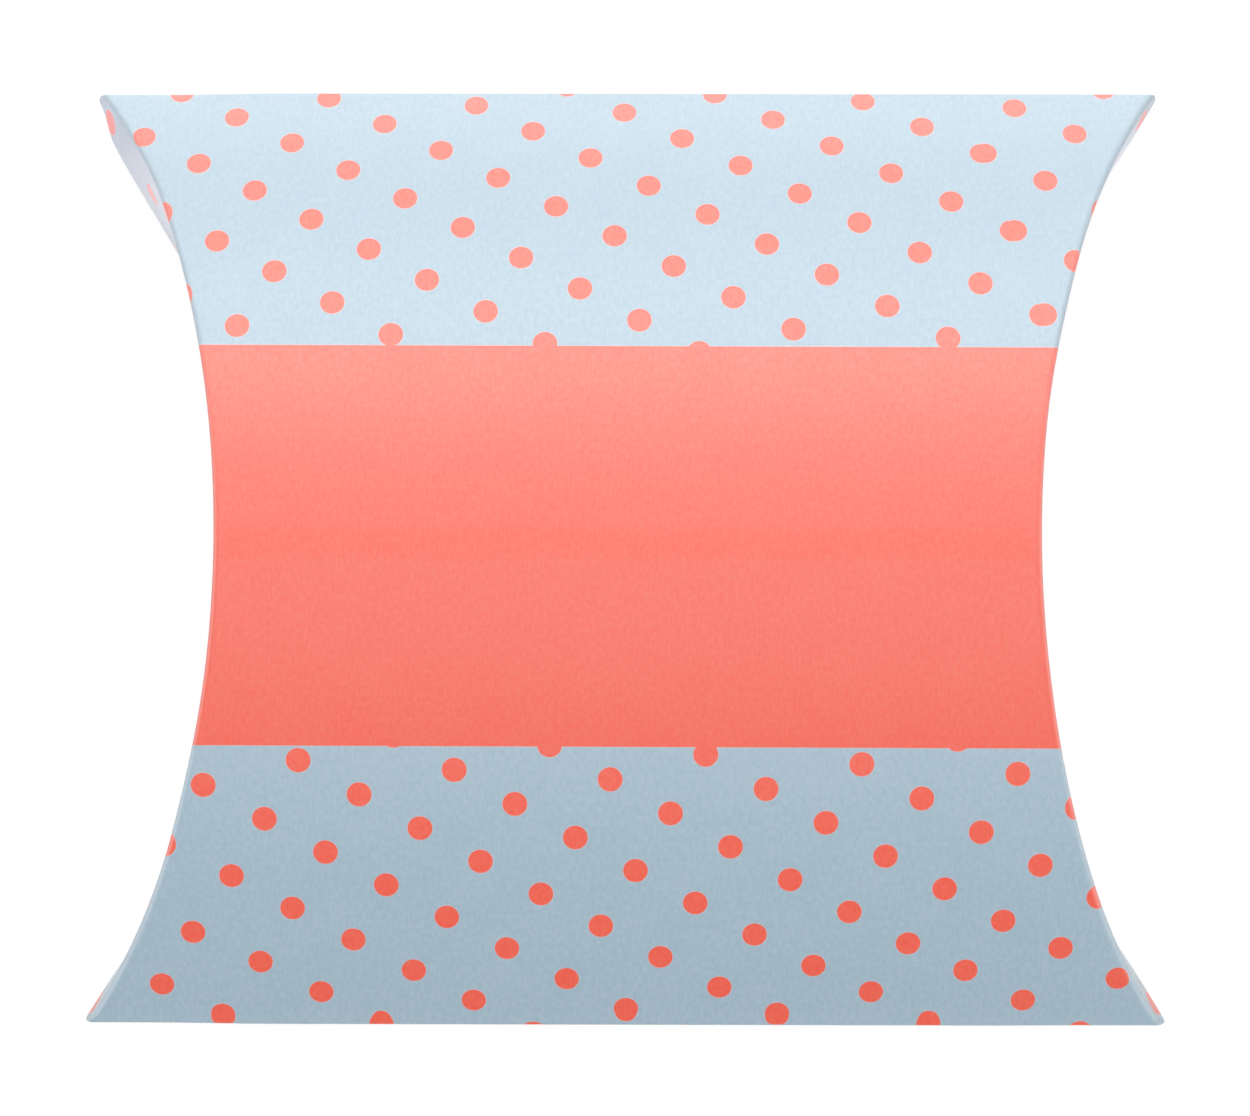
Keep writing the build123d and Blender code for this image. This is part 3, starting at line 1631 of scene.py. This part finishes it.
@dataclass(frozen=True)
class CardGrain:
    """Fibres and small flecks of the board, in the scale of the real sheet.

    Attributes:
        cloud: How fine the widest unevenness is, per metre.
        mottle: The same for the middle one.
        fibre: The same for the fibres.
        fine: Layers of detail in the cloud and in the fibres.
        coarse: Layers of detail in the mottle.
        stretch: Share to which the fibres are drawn out along the blank.
        tone_shares: Shares of mottle, fibres and cloud in the tone.
        height_shares: Shares of fibres and mottle in the relief.
        fleck_cell: Width of a cell that may hold one fleck.
        fleck_size: Radii inside and outside of a fleck's soft edge, in cells.
        fleck_least: Random number above which a cell has its fleck.
    """

    cloud: float = 110.0
    mottle: float = 1100.0
    fibre: float = 2600.0
    fine: float = 3.0
    coarse: float = 2.0
    stretch: float = 0.22
    tone_shares: tuple[float, float, float] = (0.44, 0.42, 0.14)
    height_shares: tuple[float, float] = (0.6, 0.4)
    fleck_cell: float = 17.0
    fleck_size: tuple[float, float] = (0.011, 0.018)
    fleck_least: float = 0.72

    def group(self) -> bpy.types.NodeTree:
        """Make the node group of the grain.

        Returns:
            Group with the input Blank and the outputs Tone, Height and Fleck.
        """
        group, wire, given, result = new_group(
            "card grain", (("Blank", "NodeSocketVector"),), ("Tone", "Height", "Fleck")
        )
        blank = given.outputs[0]
        cloud = wire.noise(blank, self.cloud, self.fine)
        mottle = wire.noise(blank, self.mottle, self.coarse)
        stretched = wire.vector("MULTIPLY", blank, (1.0, self.stretch, 1.0))
        fibre = wire.noise(stretched, self.fibre, self.fine)
        parts = zip((mottle, fibre, cloud), self.tone_shares)
        first, second, third = (wire.math("MULTIPLY", part, share) for part, share in parts)
        tone = wire.math("ADD", wire.math("ADD", first, second), third)
        wire.feed(result.inputs["Tone"], tone)
        parts = zip((fibre, mottle), self.height_shares)
        first, second = (wire.math("MULTIPLY", part, share) for part, share in parts)
        wire.feed(result.inputs["Height"], wire.math("ADD", first, second))
        cells = wire.add("ShaderNodeTexVoronoi", feature="F1")
        wire.feed(cells.inputs["Vector"], blank)
        cells.inputs["Scale"].default_value = 1.0 / (self.fleck_cell * MM)
        near = wire.ramp(cells.outputs["Distance"], *self.fleck_size, 1.0, 0.0)
        pick = wire.add("ShaderNodeSeparateColor")
        wire.feed(pick.inputs[0], cells.outputs["Color"])
        chosen = wire.math("GREATER_THAN", pick.outputs[0], self.fleck_least)
        wire.feed(result.inputs["Fleck"], wire.math("MULTIPLY", near, chosen))
        return group


@dataclass(frozen=True)
class Inks:
    """Colours of the sheet, as they look under white light of plain strength.

    Attributes:
        spot: Ink of the spots and the band.
        ground: Ink of the ground.
        white: Bare paper.
        fleck: Small flecks in the board.
    """

    spot: tuple[int, int, int] = (239, 98, 78)
    ground: tuple[int, int, int] = (162, 184, 198)
    white: tuple[int, int, int] = (240, 238, 234)
    fleck: tuple[int, int, int] = (250, 226, 170)


@dataclass(frozen=True)
class Surface:
    """How the board's grain shows in the tone, the gloss and the relief of a finish.

    Attributes:
        roughness: Middle roughness.
        tone_spread: How much the tone goes to either side of its middle, as a share.
        rough_spread: How far the roughness goes to either side of its middle.
        relief: Strength of the relief.
        relief_height: Height of the relief.
        tones: Tones of the grain between which tone and roughness rise.
    """

    roughness: float
    tone_spread: float
    rough_spread: float = 0.05
    relief: float = 0.3
    relief_height: float = 0.05
    tones: tuple[float, float] = (0.3, 0.7)

    def apply(
        self, wire: Wiring, shader: bpy.types.Node, board: bpy.types.Node, colour: object
    ) -> None:
        """Wire the colour, the roughness and the relief of a shader.

        Args:
            wire: Wiring of the material.
            shader: Its Principled shader.
            board: Its node with the board's grain.
            colour: Socket or colour of the even card.
        """
        tone = board.outputs["Tone"]
        low, high = 1.0 - self.tone_spread, 1.0 + self.tone_spread
        shaded = wire.scaled(colour, wire.ramp(tone, *self.tones, low, high))
        wire.feed(shader.inputs["Base Color"], shaded)
        low, high = self.roughness - self.rough_spread, self.roughness + self.rough_spread
        wire.feed(shader.inputs["Roughness"], wire.ramp(tone, *self.tones, low, high))
        bump = wire.add("ShaderNodeBump")
        bump.inputs["Strength"].default_value = self.relief
        bump.inputs["Distance"].default_value = self.relief_height * MM
        wire.feed(bump.inputs["Height"], board.outputs["Height"])
        wire.feed(shader.inputs["Normal"], bump.outputs[0])


@dataclass(frozen=True)
class PrintedCard:
    """Outside of the box: two inks on coated board under a satin varnish.

    Attributes:
        inks: Colours of the sheet.
        artwork: What is printed.
        surface: How the grain shows through.
        specular: Strength of the varnish's sheen.
        uneven_ink: How much denser or thinner the ink lies with the grain.
        ink_tones: Tones of the grain between which it gets denser.
        wear: How much paper shows where the print is rubbed.
    """

    inks: Inks = Inks()
    artwork: SpotPrint = SpotPrint()
    surface: Surface = Surface(0.345, 0.02, 0.03, 0.12, 0.03)
    specular: float = 1.0
    uneven_ink: float = 0.105
    ink_tones: tuple[float, float] = (0.34, 0.66)
    wear: float = 0.16

    def inked(self, wire: Wiring, board: bpy.types.Node) -> bpy.types.NodeSocket:
        """Print the inks on the paper.

        Args:
            wire: Wiring of the material.
            board: Its node with the board's grain.

        Returns:
            The colour of the fresh print.
        """
        printed = wire.on_blank(self.artwork.group())
        paper = linear_colour(*self.inks.white)
        ground = wire.blend(printed.outputs["Ground Ink"], paper, linear_colour(*self.inks.ground))
        inked = wire.blend(printed.outputs["Spot Ink"], ground, linear_colour(*self.inks.spot))
        low, high = 1.0 - self.uneven_ink, 1.0 + self.uneven_ink
        density = wire.ramp(board.outputs["Tone"], *self.ink_tones, low, high)
        covered = wire.add("ShaderNodeGamma")
        wire.feed(covered.inputs["Color"], inked)
        wire.feed(covered.inputs["Gamma"], density)
        fleck = linear_colour(*self.inks.fleck)
        return wire.blend(board.outputs["Fleck"], covered.outputs[0], fleck)

    def material(self, grain: bpy.types.NodeTree) -> bpy.types.Material:
        """Make the material.

        Args:
            grain: Node group of the board's grain.

        Returns:
            The printed card.
        """
        made, wire, shader = new_material("printed_card")
        board = wire.on_blank(grain)
        rub = wire.add("ShaderNodeAttribute", attribute_name="rub").outputs["Fac"]
        bared = wire.math("MULTIPLY", rub, wire.math("MULTIPLY", board.outputs["Tone"], self.wear))
        worn = wire.blend(bared, self.inked(wire, board), linear_colour(*self.inks.white))
        self.surface.apply(wire, shader, board, worn)
        shader.inputs["Specular IOR Level"].default_value = self.specular
        return made


@dataclass(frozen=True)
class BareCard:
    """Uncoated inside of the board, or its cut edge.

    Attributes:
        name: Name of the finish.
        colour: Its colour.
        surface: How the grain shows in it.
    """

    name: str
    colour: tuple[int, int, int]
    surface: Surface

    def material(self, grain: bpy.types.NodeTree) -> bpy.types.Material:
        """Make the material.

        Args:
            grain: Node group of the board's grain.

        Returns:
            The bare card.
        """
        made, wire, shader = new_material(self.name)
        colour = linear_colour(*self.colour)[:3]
        self.surface.apply(wire, shader, wire.on_blank(grain), colour)
        return made


@dataclass(frozen=True)
class DriedGlue:
    """Thin film of adhesive, milky and a little uneven.

    Attributes:
        colour: Its colour.
        surface: How the grain under it shows.
        milky: Share of the light that goes into it.
        depth: How deep red, green and blue light go into it, in metres.
    """

    colour: tuple[int, int, int] = (228, 222, 200)
    surface: Surface = Surface(0.35, 0.06)
    milky: float = 0.15
    depth: tuple[float, float, float] = (0.0004, 0.0004, 0.0003)

    def material(self, grain: bpy.types.NodeTree) -> bpy.types.Material:
        """Make the material.

        Args:
            grain: Node group of the board's grain.

        Returns:
            The dried glue.
        """
        made, wire, shader = new_material("dried_glue")
        colour = linear_colour(*self.colour)[:3]
        self.surface.apply(wire, shader, wire.on_blank(grain), colour)
        shader.inputs["Subsurface Weight"].default_value = self.milky
        shader.inputs["Subsurface Radius"].default_value = self.depth
        return made


class Use(Enum):
    """What a lamp adds to the picture."""

    LIGHT = "light"
    SHEEN = "sheen"


@dataclass(frozen=True)
class Lamp:
    """A soft rectangular lamp that looks at the box.

    Attributes:
        name: Name of the lamp.
        tilt: Angle from straight above the box, in degrees.
        heading: Direction in which it leans, 0 towards +Y and 90 towards +X, in degrees.
        size: Width and height in metres.
        power: Power in watts.
        use: Whether it lights the card or only shows as a sheen on it.
        distance: Distance from the box in metres.
    """

    name: str
    tilt: float
    heading: float
    size: tuple[float, float]
    power: float
    use: Use
    distance: float = 1.5

    def hang(self, target: Vector) -> None:
        """Hang the lamp and turn it to the target.

        Args:
            target: Place that it looks at, in metres.
        """
        tilt = math.radians(self.tilt)
        heading = math.radians(self.heading)
        level = math.sin(tilt)
        way = Vector((level * math.sin(heading), level * math.cos(heading), math.cos(tilt)))
        light = bpy.data.lights.new(self.name, "AREA")
        light.shape = "RECTANGLE"
        light.size, light.size_y = self.size
        light.energy = self.power
        lamp = bpy.data.objects.new(self.name, light)
        bpy.context.scene.collection.objects.link(lamp)
        lamp.location = target + self.distance * way
        lamp.rotation_mode = "QUATERNION"
        lamp.rotation_quaternion = (-way).to_track_quat("-Z", "Y")
        lamp.visible_camera = False
        lamp.visible_diffuse = self.use is Use.LIGHT
        lamp.visible_glossy = self.use is Use.SHEEN


@dataclass(frozen=True)
class TableWithPaintedSheen:
    """Finish of the table: plain white, with a glow that only reflections see, a painted reflection
    that lightens the card where it mirrors the table.

    Attributes:
        tone: Brightness for the light that it throws back on the box.
        seen_tone: Brightness to the camera, which lets the box's soft shadow show.
        glow: Light of its own that the camera sees.
        roughness: Its roughness.
        sheen: Strength of that glow, which only reflections see: a painted reflection on the card.
        glints: Places where that painted glow is brighter, in metres, and by how much.
        glint_reach: Distances from such a place between which that fades, in metres.
        glint_tint: Lilac colour of the painted glow there, which tints the painted reflection on
            the card.
        tint_gain: How fast the painted glow takes on that colour as it brightens.
    """

    tone: float = 0.62
    seen_tone: float = 0.26
    glow: float = 0.8
    roughness: float = 0.9
    sheen: float = 0.65
    glints: tuple[tuple[float, float, float], ...] = ((-0.11, 0.085, 0.92), (0.1, 0.06, 0.58))
    glint_reach: tuple[float, float] = (0.01, 0.045)
    glint_tint: tuple[float, float, float, float] = (1.0, 0.86, 0.97, 1.0)
    tint_gain: float = 1.2

    def painted_glint(self, wire: Wiring) -> bpy.types.NodeSocket:
        """Find how much brighter the painted reflection glow is at each place.

        Args:
            wire: Wiring of the material.

        Returns:
            What is added to the sheen.
        """
        place = wire.add("ShaderNodeTexCoord").outputs["Object"]
        painted_glow: object = 0.0
        for along, across, extra in self.glints:
            away = wire.vector("LENGTH", wire.vector("SUBTRACT", place, (along, across, 0.0)))
            painted_glow = wire.math("ADD", painted_glow, wire.ramp(away, *self.glint_reach, extra, 0.0))
        return painted_glow

    def material(self) -> bpy.types.Material:
        """Make the material, which is clear from below and glows only where the card reflects it.

        Returns:
            The white of the table, with its painted reflection glow.
        """
        made, wire, shader = new_material("white_table")
        path = wire.add("ShaderNodeLightPath")
        camera = path.outputs["Is Camera Ray"]
        glossy = path.outputs["Is Glossy Ray"]
        tone, seen = ((level, level, level, 1.0) for level in (self.tone, self.seen_tone))
        wire.feed(shader.inputs["Base Color"], wire.blend(camera, tone, seen))
        shader.inputs["Roughness"].default_value = self.roughness
        shader.inputs["Specular IOR Level"].default_value = 0.0
        # Painted reflection: the table glows for glossy rays only, brighter and tinted lilac at the
        # glints, so it lightens the card's walls and creases like a lamp would.
        painted_glow = self.painted_glint(wire)
        painted_tint_share = wire.math("MULTIPLY", wire.math("MULTIPLY", painted_glow, self.tint_gain), glossy)
        painted_tint = wire.blend(wire.math("MINIMUM", painted_tint_share, 1.0), (1.0, 1.0, 1.0, 1.0), self.glint_tint)
        wire.feed(shader.inputs["Emission Color"], painted_tint)
        # Glow that only glossy rays see, a painted reflection on the card.
        sheen = wire.math("MULTIPLY", glossy, wire.math("ADD", painted_glow, self.sheen))
        strength = wire.math("ADD", sheen, wire.math("MULTIPLY", camera, self.glow))
        wire.feed(shader.inputs["Emission Strength"], strength)
        from_below = wire.add("ShaderNodeMixShader")
        wire.feed(from_below.inputs[0], wire.add("ShaderNodeNewGeometry").outputs["Backfacing"])
        wire.feed(from_below.inputs[1], shader.outputs[0])
        wire.feed(from_below.inputs[2], wire.add("ShaderNodeBsdfTransparent").outputs[0])
        surface = made.node_tree.nodes["Material Output"].inputs["Surface"]
        wire.feed(surface, from_below.outputs[0])
        return made


@dataclass
class Studio:
    """White table, soft light and the camera that looks down on the box.

    Attributes:
        world_level: Strength of the even light from all round.
        world_gloss: Share of it that shows as a sheen.
        table: Finish of the table, whose glow paints a reflection on the card.
        table_half: Half the table's width, in metres.
        lamps: The lamps.
        aim: Place that the lamps look at, in metres.
        lens: Focal length of the camera.
        sensor: Width of its sensor.
        clip: Nearest and farthest distance that it sees, in metres.
        eye: Place of the camera in millimetres.
        right: Camera's right side as a direction.
        up: Camera's upward direction.
        back: Direction from the scene to the camera.
    """

    world_level: float = 0.30
    world_gloss: float = 0.5
    table: TableWithPaintedSheen = TableWithPaintedSheen()
    table_half: float = 3.0
    lamps: tuple[Lamp, ...] = (
        Lamp("overhead_softbox", 0.0, 0.0, (1.6, 1.2), 22.8, Use.LIGHT),
        Lamp("far_sheen", 35.0, 0.0, (3.6, 0.65), 24.6, Use.SHEEN),
        Lamp("middle_sheen", 60.0, 0.0, (3.6, 0.65), 18.75, Use.SHEEN),
        Lamp("low_sheen", 80.0, 0.0, (2.4, 0.65), 19.5, Use.SHEEN),
        Lamp("left_sheen", 80.0, -90.0, (2.0, 1.0), 12.0, Use.SHEEN),
        Lamp("right_sheen", 80.0, 90.0, (2.0, 1.0), 12.0, Use.SHEEN),
    )
    aim: tuple[float, float, float] = (0.0, 0.0, 0.02)
    lens: float = 77.236
    sensor: float = 36.0
    clip: tuple[float, float] = (0.01, 20.0)
    eye: tuple[float, float, float] = (1.045, -38.115, 500.735)
    right: tuple[float, float, float] = (0.99999316, 0.00210588, -0.00303972)
    up: tuple[float, float, float] = (-0.00186439, 0.99700054, 0.07737211)
    back: tuple[float, float, float] = (0.00319354, -0.07736591, 0.99699765)

    def build(self) -> None:
        """Set up the camera, the light and the table."""
        self.place_camera()
        self.light_room()
        self.lay_table()
        bpy.context.scene.view_settings.view_transform = "Standard"

    def place_camera(self) -> None:
        """Put the camera where it sees the box as it was photographed."""
        optics = bpy.data.cameras.new("camera")
        optics.sensor_width = self.sensor
        optics.lens = self.lens
        optics.clip_start, optics.clip_end = self.clip
        camera = bpy.data.objects.new("camera", optics)
        bpy.context.scene.collection.objects.link(camera)
        turn = Matrix((self.right, self.up, self.back)).transposed().to_4x4()
        camera.matrix_world = Matrix.Translation(Vector(self.eye) * MM) @ turn
        bpy.context.scene.camera = camera

    def light_room(self) -> None:
        """Light the box evenly from all round, with soft lamps over it."""
        world = bpy.data.worlds.new("white room")
        bpy.context.scene.world = world
        world.use_nodes = True
        wire = Wiring(world.node_tree)
        path = wire.add("ShaderNodeLightPath")
        through = path.outputs["Is Transmission Ray"]
        seen = wire.math("MAXIMUM", path.outputs["Is Camera Ray"], through)
        less = (self.world_gloss - 1.0) * self.world_level
        sheen = wire.math("MULTIPLY", path.outputs["Is Glossy Ray"], less)
        level = wire.math("ADD", sheen, self.world_level)
        strength = wire.math("MAXIMUM", seen, level)
        ground = world.node_tree.nodes["Background"]
        ground.inputs["Color"].default_value = (1.0, 1.0, 1.0, 1.0)
        wire.feed(ground.inputs["Strength"], strength)
        for lamp in self.lamps:
            lamp.hang(Vector(self.aim))

    def lay_table(self) -> None:
        """Lay a white table under the box, which keeps the box's soft shadow."""
        sheet = bmesh.new()
        bmesh.ops.create_grid(sheet, x_segments=2, y_segments=2, size=self.table_half)
        mesh = bpy.data.meshes.new("table_top")
        sheet.to_mesh(mesh)
        sheet.free()
        mesh.materials.append(self.table.material())
        table = bpy.data.objects.new("table_top", mesh)
        table.location = (0.0, 0.0, 0.0)
        bpy.context.scene.collection.objects.link(table)


@dataclass
class PillowBox:
    """The whole box, piece by piece, in the order in which its blank is laid out.

    Attributes:
        form: Outside form of the box.
        flaps: Sizes of its end flaps.
        card: Finishes of the printed card.
        bare: Finishes of the bare card.
        glue: Finishes of the dried glue.
    """

    form: BoxForm = field(default_factory=BoxForm)
    flaps: FlapForm = field(default_factory=FlapForm)
    card: Finishes = field(init=False)
    bare: Finishes = field(init=False)
    glue: Finishes = field(init=False)

    def __post_init__(self) -> None:
        """Make the finishes that the pieces share."""
        grain = CardGrain().group()
        printed = PrintedCard().material(grain)
        inside = BareCard("card_inside", (238, 236, 231), Surface(0.82, 0.04)).material(grain)
        cut_edge = BareCard("card_cut_edge", (226, 223, 216), Surface(0.9, 0.08)).material(grain)
        self.card = (printed, inside, cut_edge)
        self.bare = (inside, inside, cut_edge)
        self.glue = (DriedGlue().material(grain),) * 3

    def body(self) -> None:
        """Build the two panels, the side fold and the glued seam."""
        form, card = self.form, self.card
        fold = SideFold(form, "side_fold_card", ("side_fold",), "scored_card", card)
        fold.creases = {end: self.crease(Face.FRONT, end) for end in End}
        for sheet in (
            Panel(form, "front_panel_card", ("front_panel",), "printed_card", card),
            Panel(form, "back_panel_card", ("back_panel",), "printed_card", card, Face.BACK),
            fold,
            TabFold(form, "tab_fold_card", ("tab_fold",), "scored_card", card),
            GlueTab(form, "glue_tab_card", ("glue_tab",), "bare_card", self.bare),
            GlueLine(form, "seam_glue_film", ("seam_glue",), "dried_glue", self.glue),
        ):
            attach(sheet.build(), "box")

    def crease(self, face: Face, end: End) -> Crease:
        """Draw up the scored strip of one face at one end.

        Args:
            face: Face of the box.
            end: End of the box.

        Returns:
            The strip, ready to be built.
        """
        which = "front" if face is Face.FRONT else "back"
        node = f"{end.name.lower()}_{which}_crease"
        return Crease(
            self.form, node + "_card", (node,), "scored_card", self.card, face, end, self.flaps
        )

    def flap(self, face: Face, end: End, strip: Strip) -> Flap:
        """Draw up one strip of the flap of one face at one end.

        Args:
            face: Face of the box.
            end: End of the box.
            strip: Which of the flap's strips.

        Returns:
            The strip, ready to be built.
        """
        outer = face is Face.FRONT
        node = f"{end.name.lower()}_{'outer' if outer else 'inner'}_flap"
        name = f"{node}_{strip.name.lower()}"
        half = self.flaps.tip_across if outer else self.flaps.inner_half
        sheet = Flap(
            self.form, name, (node,), "printed_card", self.card, face, end, self.flaps,
            half=half, strip=strip,
        )
        if strip is not Strip.CARD:
            sheet.rim = Slot.OUTSIDE
        return sheet

    def ends(self) -> None:
        """Build the creases and flaps of both ends."""
        for end in End:
            for face in Face:
                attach(self.crease(face, end).build(), "box")
                for strip in Strip:
                    self.flap(face, end, strip).hinged()

    def build(self) -> None:
        """Build every piece."""
        self.body()
        self.ends()


def main() -> None:
    """Build the studio and the box."""
    logging.basicConfig(level=logging.INFO, format="%(name)s: %(message)s")
    Studio().build()
    PillowBox().build()


if __name__ == "__main__":
    main()
